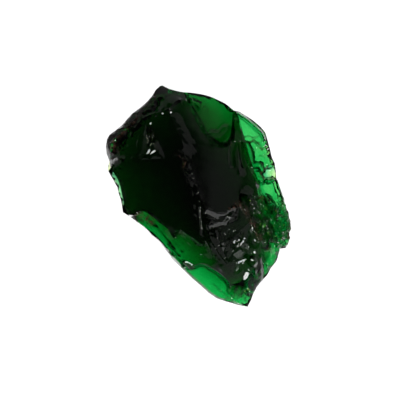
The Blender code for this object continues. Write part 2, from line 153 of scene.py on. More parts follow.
@dataclass(frozen=True)
class Weathering:
    """Small relief on part of the stone.

    Attributes:
        name: What it is.
        grain: Its kind.
        size: The size of one grain, or from one ripple to the next, in millimetres; plain relief
            has none.
        depth: How far it pushes the surface, in millimetres; plain relief below 0 is cut in.
        trails: Where it lies.
        origin: The map point that ripples spread from.
    """

    name: str
    grain: Grain
    size: float
    depth: float
    trails: tuple[Trail, ...]
    origin: MapPoint = (0.0, 0.0)

    def rise(self, spots: np.ndarray) -> np.ndarray:
        """How far plain or rippled relief lifts the surface where its effect is full.

        Args:
            spots: Map points, one in each row.

        Returns:
            One height for each spot, in millimetres.
        """
        if self.grain is Grain.PLAIN:
            return np.full(len(spots), self.depth)
        away = np.hypot(*(spots - np.array(self.origin)).T)
        return self.depth * np.cos(2.0 * math.pi * away / self.size)

    def texture(self) -> bpy.types.Texture:
        """The relief's pattern, with one grain to each unit."""
        made = bpy.data.textures.new(self.name, self.grain.value)
        made.noise_scale = 1.0
        if self.grain is Grain.HACKLE:
            made.distance_metric = "DISTANCE"
            made.noise_intensity = 1.0
        else:
            made.noise_depth = 2
        return made

    def guide(self) -> bpy.types.Object:
        """The axes that set the size of the pattern."""
        object_mode()
        bpy.ops.object.empty_add(type="PLAIN_AXES")
        guide = bpy.context.object
        guide.scale = (self.size * MM,) * 3
        return guide


@dataclass(frozen=True)
class Chip:
    """A shell-shaped flake that has broken off.

    Attributes:
        place: The map point at its middle.
        across: Its width, in millimetres.
        depth: Its depth, in millimetres.
        long: How many times longer it is than wide.
        turn: The direction of its length on the map, in degrees.
    """

    place: MapPoint
    across: float
    depth: float
    long: float = 1.0
    turn: float = 0.0

    def cutter(self, point: Vector, along: Vector) -> bpy.types.Object:
        """The body that cuts the chip.

        Args:
            point: The place on the surface, in metres.
            along: The direction that the surface faces there.

        Returns:
            A long round body whose lowest part lies in the stone.
        """
        half = self.across / 2
        radius = (half * half + self.depth * self.depth) / (2 * self.depth)
        middle = point + along * (radius - self.depth) * MM
        object_mode()
        bpy.ops.mesh.primitive_ico_sphere_add(subdivisions=4, radius=radius * MM)
        body = bpy.context.object
        lean = along.to_track_quat("Z", "Y").to_matrix()
        angle = math.radians(self.turn)
        way = lean.inverted() @ Vector((math.cos(angle), math.sin(angle), 0.0))
        spin = math.atan2(way.y, way.x)
        bpy.ops.object.mode_set(mode="EDIT")
        bpy.ops.transform.resize(value=(self.long, 1.0, 1.0))
        bpy.ops.object.mode_set(mode="OBJECT")
        body.matrix_world = (
            Matrix.Translation(middle) @ lean.to_4x4() @ Matrix.Rotation(spin, 4, "Z")
        )
        bpy.ops.object.transform_apply(location=True, rotation=True, scale=True)
        return body


@dataclass(frozen=True)
class Facet:
    """A small glassy face.

    Attributes:
        trail: Where it lies.
        turn: The direction in the picture that it leans to, in degrees.
        tilt: How far it leans from level, in degrees.
        drop: How far it is cut in, in millimetres; below 0 it is raised, and at 0 it keeps its
            mean height.
    """

    trail: Trail
    turn: float
    tilt: float
    drop: float = 0.0

    def rise(self, spots: np.ndarray, heights: np.ndarray, weights: np.ndarray) -> np.ndarray:
        """How far each vertex is from the face's plane.

        Args:
            spots: Map points, one in each row.
            heights: The height of each vertex.
            weights: How strongly the face acts on each.

        Returns:
            One height for each vertex, in millimetres.
        """
        if not weights.any():
            return np.zeros(len(spots))
        angle = math.radians(self.turn) - LEAN
        downhill = np.array((math.cos(angle), math.sin(angle))) * math.tan(math.radians(self.tilt))
        plane = -spots @ downhill
        amounts = plane + np.average(heights - plane, weights=weights) - self.drop - heights
        if self.drop > 0.0:
            return np.minimum(amounts, 0.0)
        return np.maximum(amounts, 0.0) if self.drop < 0.0 else amounts


@dataclass
class CrystalShape:
    """The stone's fine shape, made from the plain solid.

    Attributes:
        ridge_angle: Edges sharper than this stay as ridges.
        even_passes: How often each face is evened out between its ridges.
        chips: The flakes that have broken off.
        weathering: The small relief, in the order that it is made.
        hollows: The broad faces that are cut in.
        facets: The small glassy faces.
        soft: Where one face runs into the next without a ridge.
        fine: Where the relief is finest.
        spare: How far above the flat back the relief ends, in millimetres.
        fade: How far above that it is full, in millimetres.
        coarse: Larger triangles than this are divided, in square millimetres.
        finest: The same where the relief is finest.
        coarse_low: How far above the flat back triangles are divided, in millimetres.
        finest_low: The same where the relief is finest.
        finest_share: How strongly a trail has to act for its triangles to be divided.
        even_share: How far a vertex moves to its neighbours' mean in one pass of evening out.
        soft_share: The same where faces are softened.
        soft_passes: How often they are softened.
    """

    ridge_angle: float
    even_passes: int
    chips: tuple[Chip, ...]
    weathering: tuple[Weathering, ...]
    hollows: tuple[Facet, ...]
    facets: tuple[Facet, ...]
    soft: tuple[Trail, ...]
    fine: tuple[Trail, ...]
    spare: float = 0.08
    fade: float = 0.25
    coarse: float = 0.0018
    finest: float = 0.00046
    coarse_low: float = 0.02
    finest_low: float = 0.05
    finest_share: float = 0.05
    even_share: float = 0.5
    soft_share: float = 0.7
    soft_passes: int = 150
    piece: Optional[bpy.types.Object] = field(default=None, init=False)

    def copy_solid(self, solid: bpy.types.Object) -> None:
        """Starts from a joined-up copy of the plain solid.

        Args:
            solid: The plain solid.
        """
        object_mode(solid)
        bpy.ops.object.duplicate()
        self.piece = bpy.context.object
        self.piece.name = "tourmaline_stone"
        self.piece.data.name = "tourmaline_stone"
        edit_mode(self.piece, "VERT", "SELECT")
        bpy.ops.mesh.remove_doubles(threshold=WELD)
        bpy.ops.mesh.mark_sharp(clear=True)
        bpy.ops.mesh.customdata_custom_splitnormals_clear()
        object_mode(self.piece)

    def surface(self, place: MapPoint, reach: float) -> tuple[Vector, Vector]:
        """The front's place and mean direction over a map point.

        Args:
            place: The map point.
            reach: How far around it the direction is averaged, in millimetres.

        Returns:
            The point in metres and a unit vector.
        """
        mesh_tree = BVHTree.FromObject(self.piece, bpy.context.evaluated_depsgraph_get())
        down = Vector((0.0, 0.0, -1.0))
        middle = Vector((place[0] - MAP_CENTRE[0], place[1] - MAP_CENTRE[1], ABOVE)) * MM
        facing = Vector()
        steps = [Vector((x, y, 0.0)) * reach * MM for x in (-1, 0, 1) for y in (-1, 0, 1)]
        for step in steps:
            normal = mesh_tree.ray_cast(middle + step, down)[1]
            facing += normal or Vector()
        point = mesh_tree.ray_cast(middle, down)[0]
        return point, facing.normalized()

    def break_chips(self) -> None:
        """Cuts all the chips out of the stone."""
        cutters = []
        for chip in self.chips:
            point, facing = self.surface(chip.place, chip.across / 4)
            cutters.append(chip.cutter(point, facing))
        for cutter in cutters:
            object_mode(self.piece)
            cut = self.piece.modifiers.new("chip", "BOOLEAN")
            cut.operation = "DIFFERENCE"
            cut.solver = "EXACT"
            cut.object = cutter
            bpy.ops.object.modifier_apply(modifier=cut.name)
            bpy.data.objects.remove(cutter)
        edit_mode(self.piece, "VERT", "SELECT")
        bpy.ops.mesh.remove_doubles(threshold=CUT_WELD)
        bpy.ops.mesh.quads_convert_to_tris()
        object_mode(self.piece)
        LOG.info("%d chips", len(self.chips))

    def mark_ridges(self) -> None:
        """Marks the edges where two faces of the fracture meet."""
        edit_mode(self.piece, "EDGE", "DESELECT")
        bpy.ops.mesh.edges_select_sharp(sharpness=self.ridge_angle)
        bpy.ops.mesh.mark_sharp()
        object_mode(self.piece)

    def divide(self, chosen: np.ndarray) -> None:
        """Divides each chosen triangle into four.

        Args:
            chosen: One truth for each face.
        """
        edit_mode(self.piece, "FACE", "DESELECT")
        object_mode(self.piece)
        self.piece.data.polygons.foreach_set("select", chosen)
        bpy.ops.object.mode_set(mode="EDIT")
        bpy.ops.mesh.subdivide(number_cuts=1)
        bpy.ops.mesh.select_all(action="SELECT")
        bpy.ops.mesh.quads_convert_to_tris()
        object_mode(self.piece)

    def centres(self) -> np.ndarray:
        """The middles of all faces, one in each row, in millimetres."""
        flat = np.empty(len(self.piece.data.polygons) * 3)
        self.piece.data.polygons.foreach_get("center", flat)
        return flat.reshape(-1, 3) / MM

    def areas(self) -> np.ndarray:
        """The areas of all faces, in square millimetres."""
        flat = np.empty(len(self.piece.data.polygons))
        self.piece.data.polygons.foreach_get("area", flat)
        return flat / MM / MM

    def refine(self) -> None:
        """Divides the triangles, most of all where the relief is finest."""
        for _ in range(2):
            middles = self.centres()
            self.divide((middles[:, 2] > self.coarse_low) & (self.areas() > self.coarse))
        middles = self.centres()
        spots = on_map(middles)
        near = np.zeros(len(spots))
        for trail in (*self.fine, *(facet.trail for facet in self.facets)):
            near = np.maximum(near, trail.weight(spots))
        chosen = (near > self.finest_share) & (middles[:, 2] > self.finest_low)
        self.divide(chosen & (self.areas() > self.finest))
        LOG.info("refined to %d triangles", len(self.piece.data.polygons))

    def even_out(self) -> None:
        """Evens out the faces between the ridges."""
        mesh = self.piece.data
        free = np.ones(len(mesh.vertices), dtype=bool)
        for edge in mesh.edges:
            if edge.use_edge_sharp:
                free[edge.vertices[0]] = False
                free[edge.vertices[1]] = False
        edit_mode(self.piece, "VERT", "DESELECT")
        object_mode(self.piece)
        mesh.vertices.foreach_set("select", free)
        bpy.ops.object.mode_set(mode="EDIT")
        bpy.ops.mesh.vertices_smooth(factor=self.even_share, repeat=self.even_passes)
        object_mode(self.piece)

    def soften(self) -> None:
        """Rounds the places where faces run into each other."""
        group = self.add_group(self.coverage(self.soft))
        object_mode(self.piece)
        smooth = self.piece.modifiers.new("soften", "SMOOTH")
        smooth.factor = self.soft_share
        smooth.iterations = self.soft_passes
        smooth.vertex_group = group.name
        bpy.ops.object.modifier_apply(modifier=smooth.name)
        self.piece.vertex_groups.clear()

    def places(self) -> np.ndarray:
        """The places of all vertices, one in each row, in millimetres."""
        flat = np.empty(len(self.piece.data.vertices) * 3)
        self.piece.data.vertices.foreach_get("co", flat)
        return flat.reshape(-1, 3) / MM

    def coverage(self, trails: tuple[Trail, ...]) -> np.ndarray:
        """How strongly any of the trails acts at each vertex of the front.

        Args:
            trails: The trails to put together.

        Returns:
            One number from 0 to 1 for each vertex.
        """
        places = self.places()
        spots = on_map(places)
        strongest = np.zeros(len(spots))
        for trail in trails:
            strongest = np.maximum(strongest, trail.weight(spots))
        lift = np.clip((places[:, 2] - self.spare) / self.fade, 0.0, 1.0)
        return strongest * lift

    def add_group(self, weights: np.ndarray) -> bpy.types.VertexGroup:
        """Adds a vertex group.

        Args:
            weights: One number from 0 to 1 for each vertex.

        Returns:
            The group.
        """
        group = self.piece.vertex_groups.new(name="push")
        for index in np.flatnonzero(weights > LEAST_WEIGHT):
            group.add([int(index)], float(weights[index]), "REPLACE")
        return group

    def lift(self, amounts: np.ndarray) -> None:
        """Lifts each vertex by its own amount.

        Args:
            amounts: How far, in millimetres; below 0 is down.
        """
        for way in (1.0, -1.0):
            part = np.clip(amounts * way, 0.0, None)
            most = float(part.max())
            if not most:
                continue
            group = self.add_group(part / most)
            object_mode(self.piece)
            push = self.piece.modifiers.new("lift", "DISPLACE")
            push.vertex_group = group.name
            push.direction = "Z"
            push.mid_level = 0.0
            push.strength = most * way * MM
            bpy.ops.object.modifier_apply(modifier=push.name)
            self.piece.vertex_groups.clear()

    def roughen(self, relief: Weathering, weights: np.ndarray) -> None:
        """Pushes the surface in and out by a pattern.

        Args:
            relief: The relief.
            weights: How strongly it acts at each vertex.
        """
        group = self.add_group(weights)
        guide = relief.guide()
        object_mode(self.piece)
        push = self.piece.modifiers.new(relief.name, "DISPLACE")
        push.vertex_group = group.name
        push.texture = relief.texture()
        push.texture_coords = "OBJECT"
        push.texture_coords_object = guide
        push.direction = "NORMAL"
        push.mid_level = 0.5
        push.strength = 2.0 * relief.depth * MM
        bpy.ops.object.modifier_apply(modifier=push.name)
        bpy.data.objects.remove(guide)
        self.piece.vertex_groups.clear()

    def weather(self, relief: Weathering) -> None:
        """Makes one kind of relief.

        Args:
            relief: The relief.
        """
        weights = self.coverage(relief.trails)
        if relief.grain in (Grain.PLAIN, Grain.RIPPLE):
            self.lift(weights * relief.rise(on_map(self.places())))
        else:
            self.roughen(relief, weights)
        LOG.info("relief %s", relief.name)

    def press(self, facets: tuple[Facet, ...]) -> None:
        """Makes flat faces.

        Args:
            facets: The faces.
        """
        places = self.places()
        spots = on_map(places)
        amounts = np.zeros(len(places))
        for facet in facets:
            weights = self.coverage((facet.trail,))
            amounts += weights * facet.rise(spots, places[:, 2], weights)
        self.lift(amounts)
        LOG.info("%d flat faces", len(facets))

    def store(self, name: str, values: np.ndarray) -> None:
        """Keeps a number for each vertex, for the material to read.

        Args:
            name: The attribute's name.
            values: One number for each vertex.
        """
        layer = self.piece.data.attributes.new(name, "FLOAT", "POINT")
        layer.data.foreach_set("value", values.astype(np.float32))

    def build(self, solid: bpy.types.Object) -> bpy.types.Object:
        """Makes the fine shape.

        Args:
            solid: The plain solid.

        Returns:
            The finished piece.
        """
        self.copy_solid(solid)
        self.break_chips()
        self.mark_ridges()
        self.refine()
        self.even_out()
        self.soften()
        self.press(self.hollows)
        for relief in self.weathering:
            self.weather(relief)
        self.press(self.facets)
        object_mode(self.piece)
        bpy.ops.object.shade_smooth_by_angle(angle=self.ridge_angle)
        LOG.info("stone of %d triangles", len(self.piece.data.polygons))
        return self.piece


class Wire:
    """A shader socket that can be used in arithmetic."""

    def __init__(self, tree: bpy.types.NodeTree, socket: bpy.types.NodeSocket) -> None:
        """Wraps a socket.

        Args:
            tree: The material's nodes.
            socket: The output to wrap.
        """
        self.tree = tree
        self.socket = socket

    def _join(self, operation: str, first: Any, second: Any) -> "Wire":
        """Adds one Math node.

        Args:
            operation: What the node does.
            first: The first value or wire.
            second: The second value or wire.

        Returns:
            The node's result.
        """
        node = self.tree.nodes.new("ShaderNodeMath")
        node.operation = operation
        for slot, value in zip(node.inputs, (first, second)):
            if isinstance(value, Wire):
                self.tree.links.new(value.socket, slot)
            else:
                slot.default_value = value
        return Wire(self.tree, node.outputs[0])

    def __add__(self, other: Union["Wire", Number]) -> "Wire":
        """The sum."""
        return self._join("ADD", self, other)

    __radd__ = __add__

    def __sub__(self, other: Union["Wire", Number]) -> "Wire":
        """The difference."""
        return self._join("SUBTRACT", self, other)

    def __mul__(self, other: Union["Wire", Number]) -> "Wire":
        """The product."""
        return self._join("MULTIPLY", self, other)

    __rmul__ = __mul__

    def __truediv__(self, other: Union["Wire", Number]) -> "Wire":
        """The quotient."""
        return self._join("DIVIDE", self, other)

    def clamp(self) -> "Wire":
        """The value kept between 0 and 1."""
        return self._join("MAXIMUM", self._join("MINIMUM", self, 1.0), 0.0)

    def above(self, start: float, width: float) -> "Wire":
        """Rises from 0 to 1 over a width.

        Args:
            start: Where it is 0.
            width: How much further it is 1.

        Returns:
            The risen value.
        """
        return ((self - start) / width).clamp()


class Dresser:
    """Adds nodes to one material, or to the world."""

    def __init__(self, owner: Union[bpy.types.Material, bpy.types.World]) -> None:
        """Starts without nodes.

        Args:
            owner: The material or the world.
        """
        owner.use_nodes = True
        self.tree = owner.node_tree
        self.tree.nodes.clear()

    def node(
        self, kind: str, settings: Optional[dict[str, Any]] = None, **sockets: Any
    ) -> bpy.types.Node:
        """Adds a node.

        Args:
            kind: The node's type, without its ShaderNode prefix.
            settings: The node's own settings, set first.
            sockets: Values or wires for its inputs; an underscore stands for a space.

        Returns:
            The node.
        """
        node = self.tree.nodes.new("ShaderNode" + kind)
        for key, value in (settings or {}).items():
            setattr(node, key, value)
        for key, value in sockets.items():
            socket = node.inputs[key.replace("_", " ")]
            if isinstance(value, Wire):
                self.tree.links.new(value.socket, socket)
            elif isinstance(value, bpy.types.NodeSocket):
                self.tree.links.new(value, socket)
            else:
                socket.default_value = value
        return node

    def wire(self, socket: bpy.types.NodeSocket) -> Wire:
        """Wraps an output for arithmetic."""
        return Wire(self.tree, socket)

    def place(self) -> bpy.types.NodeSocket:
        """The object's own coordinates."""
        return self.node("TexCoord").outputs["Object"]

    def blend(
        self, share: Wire, first: tuple[float, ...], second: tuple[float, ...]
    ) -> bpy.types.NodeSocket:
        """Blends two colours.

        Args:
            share: How much of the second one there is.
            first: The first colour.
            second: The second colour.

        Returns:
            The blended colour.
        """
        node = self.node("Mix", {"data_type": "RGBA"}, Factor=share)
        node.inputs[6].default_value = (*first, 1.0)
        node.inputs[7].default_value = (*second, 1.0)
        return node.outputs[2]

    def mix(
        self, share: Union[Wire, float], first: bpy.types.Node, second: bpy.types.Node
    ) -> bpy.types.NodeSocket:
        """Mixes two shaders.

        Args:
            share: How much of the second one there is.
            first: The first shader.
            second: The second shader.

        Returns:
            The mixed shader.
        """
        node = self.node("MixShader", Fac=share)
        self.tree.links.new(first.outputs[0], node.inputs[1])
        self.tree.links.new(second.outputs[0], node.inputs[2])
        return node.outputs[0]

    def reading(self, name: str) -> Wire:
        """A number kept with each vertex."""
        return self.wire(self.node("Attribute", {"attribute_name": name}).outputs["Fac"])


@dataclass(frozen=True)
class ClearGreen:
    """The stone itself: clear, and green by what it takes out of the light.

    Attributes:
        index: The index of refraction.
        red: How much red it absorbs, for each millimetre.
        green: The same for green.
        blue: The same for blue.
        gloss: The roughness of a fresh fracture.
        frosted: The roughness of the dull patches.
        tint: The colour of its skin.
        pale: The whiter tint painted on thin flakes and one glassy face, a painted highlight
            standing in for their white glints.
        iron: The darkest and the lightest colour of the iron stain, which also paints shade on the
            upper-left corner and rim.
        iron_rough: The roughness of the iron stain.
        grain: How many grains of the skin there are in a metre.
        specks: The same for the iron stain.
        bump: How strongly the grain shows.
        bump_height: How high the grain is, in millimetres.
    """

    index: float = 1.63
    red: float = 8.0
    green: float = 1.6
    blue: float = 2.5
    gloss: float = 0.03
    frosted: float = 0.35
    tint: tuple[float, float, float] = (0.75, 1.0, 0.28)
    # painted highlight: the whiter colour that the tint turns to on thin flakes and a glassy face
    pale: tuple[float, float, float] = (1.0, 0.96, 0.82)
    iron: tuple[tuple[float, ...], tuple[float, ...]] = (
        (0.035, 0.014, 0.006, 1.0), (0.17, 0.085, 0.045, 1.0)
    )
    iron_rough: float = 0.6
    grain: float = 2600.0
    specks: float = 5200.0
    bump: float = 0.12
    bump_height: float = 0.02

    def dress(self) -> bpy.types.Material:
        """Builds the material.

        Returns:
            The material.
        """
        material = bpy.data.materials.new("tourmaline_clear_green")
        dresser = Dresser(material)
        place = dresser.place()
        noise = dresser.node(
            "TexNoise", Vector=place, Scale=self.grain, Detail=4.0, Roughness=0.6
        )
        fine = dresser.wire(noise.outputs["Fac"])
        rough = self.gloss + (self.frosted - self.gloss) * dresser.reading("dull") * fine
        bump = dresser.node(
            "Bump", Strength=self.bump, Distance=self.bump_height * MM, Height=fine
        )
        # painted highlight: the tint turns whiter where the pale mask lies
        tint = dresser.blend(dresser.reading("pale"), self.tint, self.pale)
        clear = dresser.node(
            "BsdfPrincipled",
            Base_Color=tint,
            Transmission_Weight=1.0,
            IOR=self.index,
            Roughness=rough,
            Normal=bump.outputs["Normal"],
        )
        noise = dresser.node(
            "TexNoise", Vector=place, Scale=self.specks, Detail=5.0, Roughness=0.7
        )
        speckle = dresser.wire(noise.outputs["Fac"])
        tone = dresser.node("ValToRGB", Fac=speckle.above(0.35, 0.3))
        for stop, colour in zip(tone.color_ramp.elements, self.iron):
            stop.color = colour
        iron = dresser.node(
            "BsdfPrincipled", Base_Color=tone.outputs["Color"], Roughness=self.iron_rough
        )
        # brown iron covers the clear stone where the stain mask lies: real iron stain on the ridges
        # and the rough side, painted shade on the upper-left corner and rim
        stain_and_shade_share = (dresser.reading("stain") * speckle.above(0.42, 0.2)).clamp()
        density = max(self.red, self.green, self.blue) * ABSORPTION_SPARE
        kept = [1.0 - taken / density for taken in (self.red, self.green, self.blue)]
        absorb = dresser.node("VolumeAbsorption", Color=(*kept, 1.0), Density=density / MM)
        stone = dresser.mix(stain_and_shade_share, clear, iron)
        dresser.node("OutputMaterial", Surface=stone, Volume=absorb.outputs[0])
        return material


@dataclass(frozen=True)
class GlowingFloor:
    """A pale sheet that lets half of the light from below through.

    Attributes:
        haze: How bright the floor is by itself.
        grey: How light its colour is.
        drop: How far it lies under the stone's back, in millimetres.
        size: Its width, in millimetres.
    """

    haze: float = 0.07
    grey: float = 0.5
    drop: float = 0.05
    size: float = 900.0

    def build(self) -> bpy.types.Object:
        """Lays the floor.

        Returns:
            The floor.
        """
        object_mode()
        low = (0.0, 0.0, -self.drop * MM)
        bpy.ops.mesh.primitive_plane_add(size=self.size * MM, location=low)
        floor = bpy.context.object
        floor.name = "floor"
        material = bpy.data.materials.new("pale_floor")
        dresser = Dresser(material)
        sheet = dresser.node(
            "BsdfPrincipled",
            Base_Color=(self.grey, self.grey, self.grey, 1.0),
            Roughness=0.9,
            Emission_Color=(1.0, 1.0, 1.0, 1.0),
            Emission_Strength=2.0 * self.haze,
        )
        gap = dresser.node("BsdfTransparent")
        dresser.node("OutputMaterial", Surface=dresser.mix(0.5, sheet, gap))
        floor.data.materials.append(material)
        return floor


@dataclass(frozen=True)
class Surround:
    """The dim room, and the soft light that comes straight up through the floor.

    Attributes:
        dim: How bright the room is on the picture's left.
        side: How much brighter it is on the right.
        below: How bright the light under the floor is.
        cone: How far from straight down that light is full, in degrees.
        fade: How far beyond that it fades out, in degrees.
        across: How far to the right the room is at its brightest, as part of a unit direction.
        high: How far up the room is at its brightest, as part of a unit direction.
    """

    dim: float = 0.012
    side: float = 0.095
    below: float = 2.05
    cone: float = 25.0
    fade: float = 27.0
    across: float = 0.35
    high: float = 0.3

    def build(self) -> None:
        """Sets the world up."""
        world = bpy.data.worlds.new("studio")
        bpy.context.scene.world = world
        dresser = Dresser(world)
        way = dresser.node("TexCoord").outputs["Generated"]
        parts = dresser.node("SeparateXYZ", Vector=way).outputs
        east, north, up = (dresser.wire(part) for part in parts)
        edge = math.cos(math.radians(self.cone + self.fade))
        share = (-1.0 * up).above(edge, math.cos(math.radians(self.cone)) - edge)
        right = east * math.cos(LEAN) - north * math.sin(LEAN)
        bright = self.side * right.above(0.0, self.across) * up.above(0.0, self.high)
        level = self.dim + bright + self.below * share
        light = dresser.node("Background", Color=(1.0, 1.0, 1.0, 1.0), Strength=level)
        dresser.node("OutputWorld", Surface=light.outputs[0])


def picture_place(turn: float, rise: float) -> tuple[float, float, float]:
    """Where a light hangs.

    Args:
        turn: The direction in the picture, in degrees from its right-hand side towards its top.
        rise: The angle above the floor, in degrees.

    Returns:
        The place in millimetres.
    """
    level = LIGHT_AWAY * math.cos(math.radians(rise))
    angle = math.radians(turn) - LEAN
    height = LIGHT_AWAY * math.sin(math.radians(rise))
    return (level * math.cos(angle), level * math.sin(angle), height)


def mirror_aim(turn: float, rise: float) -> tuple[float, float]:
    """How a face lies that shows a light to the camera straight above.

    Args:
        turn: The light's direction in the picture, in degrees.
        rise: The light's angle above the floor, in degrees.

    Returns:
        The turn and the tilt of the face, in degrees.
    """
    return turn, (90.0 - rise) / 2


@dataclass(frozen=True)
class Softbox:
    """One soft studio light.

    Attributes:
        name: What it is for.
        place: Where it hangs, in millimetres.
        size: Its width and height, in millimetres.
        power: Its power in watts.
    """

    name: str
    place: tuple[float, float, float]
    size: tuple[float, float]
    power: float

    def hang(self) -> None:
        """Hangs the light, facing the stone."""
        object_mode()
        spot = Vector(self.place) * MM
        bpy.ops.object.light_add(type="AREA", location=spot)
        lamp = bpy.context.object
        lamp.name = self.name
        lamp.data.shape = "RECTANGLE"
        lamp.data.size = self.size[0] * MM
        lamp.data.size_y = self.size[1] * MM
        lamp.data.energy = self.power
        aim = Vector((0.0, 0.0, 2.0)) * MM - spot
        lamp.rotation_euler = aim.to_track_quat("-Z", "Y").to_euler()


@dataclass(frozen=True)
class Viewpoint:
    """The camera, straight above the stone.

    Attributes:
        middle: The map point in the middle of the picture.
        width: How much of the floor the picture spans, in millimetres.
        lens: The focal length on a 36 mm sensor.
        focus: The height over the floor at which the width holds, in millimetres.
    """

    middle: MapPoint = (-0.027, -0.135)
    width: float = 22.0
    lens: float = 90.0
    focus: float = 0.6

    def place(self) -> None:
        """Sets the camera up."""
        object_mode()
        sensor = 36.0
        height = self.focus + self.width * self.lens / sensor
        level = [at - centre for at, centre in zip(self.middle, MAP_CENTRE)]
        spot = Vector((*level, height)) * MM
        bpy.ops.object.camera_add(location=spot, rotation=(0.0, 0.0, -LEAN))
        camera = bpy.context.object
        camera.data.sensor_width = sensor
        camera.data.lens = self.lens
        camera.data.clip_start = 0.001
        camera.data.clip_end = 10.0
        bpy.context.scene.camera = camera


@dataclass
class Studio:
    """The floor, the lights, the surroundings and the camera.

    Attributes:
        surround: The room and the light from below.
        floor: The floor.
        lights: The soft lights.
        view: The camera.
    """

    surround: Surround
    floor: GlowingFloor
    lights: tuple[Softbox, ...]
    view: Viewpoint

    def build(self) -> None:
        """Sets everything up."""
        self.view.place()
        self.floor.build()
        self.surround.build()
        for light in self.lights:
            light.hang()
        scene = bpy.context.scene
        scene.view_settings.view_transform = "Standard"
        scene.cycles.max_bounces = 20
        scene.cycles.transmission_bounces = 16
        LOG.info("studio ready")


@dataclass
class Tourmaline:
    """The whole stone: its shape, its places of wear and stain, and its finish.

    Attributes:
        shape: The fine shape.
        finish: The clear green.
        stains_and_painted_shade: Where iron has stained the surface, and where the same brown
            paints the shade on the upper-left corner and rim.
        dull: Where the surface is dull.
        pale: Where the whiter tint is painted, a painted highlight for the white glints on thin
            flakes and a glassy face.
    """

    shape: CrystalShape
    finish: ClearGreen
    stains_and_painted_shade: tuple[Trail, ...]
    dull: tuple[Trail, ...]
    pale: tuple[Trail, ...]

    def build(self) -> bpy.types.Object:
        """Makes and dresses the stone.

        Returns:
            The finished piece.
        """
        piece = self.shape.build(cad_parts[NODE])
        # the stain mask holds the iron stains and also the painted shade on the upper-left rim
        self.shape.store("stain", self.shape.coverage(self.stains_and_painted_shade))
        self.shape.store("dull", self.shape.coverage(self.dull))
        # the pale mask marks where a highlight is painted into the tint
        self.shape.store("pale", self.shape.coverage(self.pale))
        piece.data.materials.clear()
        piece.data.materials.append(self.finish.dress())
        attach(piece, "root")
        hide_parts(NODE)
        return piece


def line(reach: float, feather: float, *points: MapPoint) -> Trail:
    """A trail through the points."""
    return Trail(points, reach, feather)


def plain(name: str, depth: float, *trails: Trail) -> Weathering:
    """Relief that lifts the surface by its depth, or cuts it where that is below 0."""
    return Weathering(name, Grain.PLAIN, 1.0, depth, trails)


ROUGH_FIELD = (
    line(0.3, 0.25, (2.5, -1.3), (2.7, -2.0), (2.75, -2.8), (2.8, -3.3)),
    line(0.3, 0.25, (3.1, -1.6), (3.4, -2.4), (3.5, -3.2), (3.4, -3.7)),
    line(0.12, 0.2, (4.05, -1.7), (4.0, -2.6), (3.85, -3.3), (3.5, -3.9)),
)
IRON_RIDGE = line(0.05, 0.16, (1.78, -1.0), (2.0, -1.4), (2.05, -2.0), (2.2, -2.6), (2.2, -3.2))
UPPER_HACKLE = (
    line(0.1, 0.14, (-1.9, 4.6), (-1.35, 4.8), (-1.0, 4.95), (-0.6, 5.05), (-0.2, 5.1)),
    line(0.05, 0.1, (-1.3, 4.55), (-1.2, 4.2)),
)
OLIVE = (
    line(0.18, 0.2, (-3.1, 4.3), (-2.6, 4.4), (-2.1, 4.2)),
    line(0.1, 0.2, (-3.2, 3.9), (-2.6, 3.9)),
)
LOWER_HACKLE = (
    line(0.15, 0.2, (0.65, -2.3), (1.2, -2.5), (1.2, -2.95), (0.8, -2.8)),
)
PIT = (line(0.08, 0.12, (0.6, -3.85), (0.9, -4.0), (1.3, -3.9)),)
RIDGE_NICKS = (
    line(0.05, 0.1, (-0.1, 2.5), (0.0, 2.0), (-0.15, 1.7), (-0.2, 1.1), (0.05, 0.9)),
)
DARK_LUMPS = (
    line(0.08, 0.26, (3.42, 1.75), (3.42, 1.3), (3.28, 0.8)),
    line(0.08, 0.22, (1.36, -4.1), (1.4, -4.3)),
    line(0.04, 0.26, (3.45, 0.55), (3.7, 0.45), (3.75, 0.2)),
    line(0.06, 0.26, (3.45, 0.05), (3.5, -0.35)),
    line(0.04, 0.2, (4.3, -0.7), (4.28, -1.2), (4.25, -1.7)),
    line(0.06, 0.26, (3.45, -1.4), (3.55, -1.75), (3.6, -2.2)),
    line(0.02, 0.2, (4.1, -0.52), (3.85, -0.5)),
)


